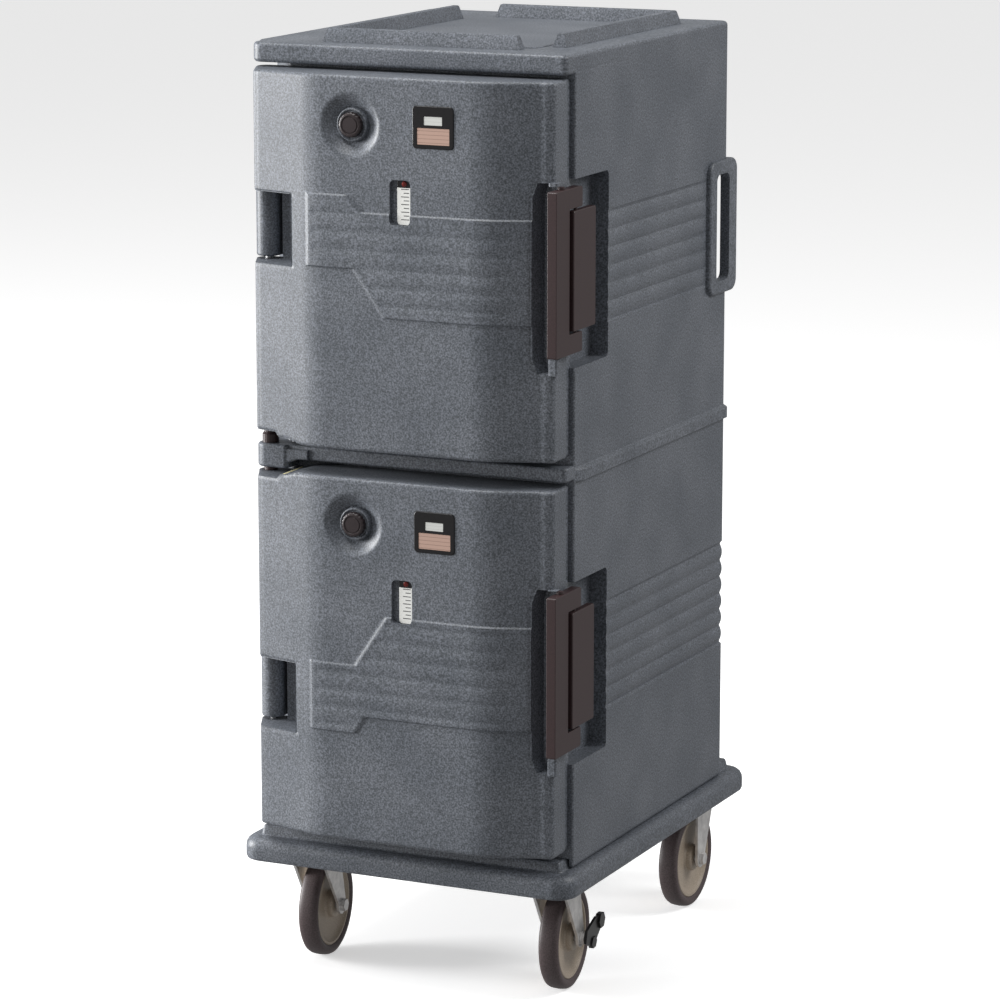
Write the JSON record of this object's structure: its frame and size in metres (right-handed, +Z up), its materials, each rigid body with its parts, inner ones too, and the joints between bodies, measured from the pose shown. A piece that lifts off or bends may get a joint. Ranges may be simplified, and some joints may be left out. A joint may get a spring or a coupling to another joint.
{
  "type": "insulated food carrier",
  "caption": "Tall heated insulated food carrier: two stacked compartments with hinged doors, side latches and vents, roof rails and rear handles on a skirted caster base.",
  "frame": {"origin": "middle of the footprint, on the floor under the wheels", "axes": "+Z up, +X towards the latch side, doors face -Y"},
  "size_m": [0.521, 0.718, 1.3716],
  "materials": {
    "granite_plastic": "moulded polyethylene, speckled slate grey, satin",
    "foam": "rigid insulation foam",
    "steel": "plain steel",
    "heater_black": "dark heating element sheath",
    "gasket_rubber": "soft door seal",
    "brown_nylon": "dark brown moulded nylon",
    "black_plastic": "black moulded plastic",
    "display": "liquid crystal display behind a clear window",
    "solar_cell": "small solar cell",
    "white_plastic": "white plate with tick marks",
    "lamp_red": "small red pilot lamp",
    "zinc": "zinc plated pressed steel",
    "tread": "dark grey-brown rubber tread",
    "hub_plastic": "tan moulded wheel core"
  },
  "bodies": {
    "root": {"base": "granite_plastic", "body_shell": "granite_plastic", "body_foam_core": "foam", "upper_hinge_pin": "steel", "lower_hinge_pin": "steel", "upper_hinge_bush": "brown_nylon", "lower_hinge_bush": "brown_nylon", "front_left_caster_plate": "zinc", "front_right_caster_plate": "zinc", "rear_left_caster_fork": "zinc", "rear_right_caster_fork": "zinc", "rear_left_axle_bolt": "zinc", "rear_right_axle_bolt": "zinc"},
    "upper_door": {"upper_door_shell": "granite_plastic", "upper_door_liner": "granite_plastic", "upper_door_foam_core": "foam", "upper_heater_cover": "steel", "upper_heater_element": "heater_black", "upper_door_gasket": "gasket_rubber", "upper_vent_seat": "brown_nylon", "upper_thermometer_case": "black_plastic", "upper_thermometer_display": "display", "upper_solar_cell": "solar_cell", "upper_indicator_plate": "white_plastic", "upper_pilot_lamp": "lamp_red", "upper_latch_frame_pin": "brown_nylon"},
    "upper_vent_cap": {"upper_vent_cap": "brown_nylon"},
    "upper_latch_frame": {"upper_latch_frame": "brown_nylon", "upper_latch_lever_pin": "steel"},
    "upper_latch_lever": {"upper_latch_lever": "brown_nylon"},
    "lower_door": {"lower_door_shell": "granite_plastic", "lower_door_liner": "granite_plastic", "lower_door_foam_core": "foam", "lower_heater_cover": "steel", "lower_heater_element": "heater_black", "lower_door_gasket": "gasket_rubber", "lower_vent_seat": "brown_nylon", "lower_thermometer_case": "black_plastic", "lower_thermometer_display": "display", "lower_solar_cell": "solar_cell", "lower_indicator_plate": "white_plastic", "lower_pilot_lamp": "lamp_red", "lower_latch_frame_pin": "brown_nylon"},
    "lower_vent_cap": {"lower_vent_cap": "brown_nylon"},
    "lower_latch_frame": {"lower_latch_frame": "brown_nylon", "lower_latch_lever_pin": "steel"},
    "lower_latch_lever": {"lower_latch_lever": "brown_nylon"},
    "front_left_swivel": {"front_left_caster_fork": "zinc", "front_left_axle_bolt": "zinc"},
    "front_left_wheel": {"front_left_tyre": "tread", "front_left_wheel_hub": "hub_plastic"},
    "front_right_swivel": {"front_right_caster_fork": "zinc", "front_right_axle_bolt": "zinc"},
    "front_right_wheel": {"front_right_tyre": "tread", "front_right_wheel_hub": "hub_plastic"},
    "rear_left_wheel": {"rear_left_tyre": "tread", "rear_left_wheel_hub": "hub_plastic"},
    "rear_right_wheel": {"rear_right_tyre": "tread", "rear_right_wheel_hub": "hub_plastic"},
    "brake_lever": {"brake_lever": "black_plastic"}
  },
  "joints": [
    {"name": "upper_door_hinge", "type": "hinge", "parent": "root", "child": "upper_door", "pos_m": [-0.219, -0.284, 1.0575], "axis": [0, 0, -1], "range_deg": [0, 180]},
    {"name": "upper_vent_twist", "type": "hinge", "parent": "upper_door", "child": "upper_vent_cap", "pos_m": [-0.053, -0.352, 1.25], "axis": [0, -1, 0], "range_deg": [0, 90]},
    {"name": "upper_latch_swing", "type": "hinge", "parent": "upper_door", "child": "upper_latch_frame", "pos_m": [0.2485, -0.327, 1.0605], "axis": [0, 0, -1], "range_deg": [0, 60]},
    {"name": "upper_lever_pull", "type": "hinge", "parent": "upper_latch_frame", "child": "upper_latch_lever", "pos_m": [0.2532, -0.287, 1.0605], "axis": [0, 0, -1], "range_deg": [0, 25]},
    {"name": "lower_door_hinge", "type": "hinge", "parent": "root", "child": "lower_door", "pos_m": [-0.219, -0.284, 0.4968], "axis": [0, 0, -1], "range_deg": [0, 180]},
    {"name": "lower_vent_twist", "type": "hinge", "parent": "lower_door", "child": "lower_vent_cap", "pos_m": [-0.053, -0.352, 0.6925], "axis": [0, -1, 0], "range_deg": [0, 90]},
    {"name": "lower_latch_swing", "type": "hinge", "parent": "lower_door", "child": "lower_latch_frame", "pos_m": [0.2485, -0.327, 0.503], "axis": [0, 0, -1], "range_deg": [0, 60]},
    {"name": "lower_lever_pull", "type": "hinge", "parent": "lower_latch_frame", "child": "lower_latch_lever", "pos_m": [0.2532, -0.287, 0.503], "axis": [0, 0, -1], "range_deg": [0, 25]},
    {"name": "front_left_swivel", "type": "hinge", "parent": "root", "child": "front_left_swivel", "pos_m": [-0.192, -0.21, 0.17], "axis": [0, 0, 1], "continuous": true},
    {"name": "front_left_wheel_spin", "type": "hinge", "parent": "front_left_swivel", "child": "front_left_wheel", "pos_m": [-0.19531, -0.17214, 0.076], "axis": [0.9962, 0.0872, 0], "continuous": true},
    {"name": "front_right_swivel", "type": "hinge", "parent": "root", "child": "front_right_swivel", "pos_m": [0.192, -0.21, 0.17], "axis": [0, 0, 1], "continuous": true},
    {"name": "front_right_wheel_spin", "type": "hinge", "parent": "front_right_swivel", "child": "front_right_wheel", "pos_m": [0.18869, -0.17214, 0.076], "axis": [0.9962, 0.0872, 0], "continuous": true},
    {"name": "rear_left_wheel_spin", "type": "hinge", "parent": "root", "child": "rear_left_wheel", "pos_m": [-0.192, 0.275, 0.076], "axis": [1, 0, 0], "continuous": true},
    {"name": "rear_right_wheel_spin", "type": "hinge", "parent": "root", "child": "rear_right_wheel", "pos_m": [0.192, 0.275, 0.076], "axis": [1, 0, 0], "continuous": true},
    {"name": "brake_press", "type": "hinge", "parent": "front_right_swivel", "child": "brake_lever", "pos_m": [0.18869, -0.17214, 0.076], "axis": [0.9962, 0.0872, 0], "range_deg": [-20, 0]}
  ]
}
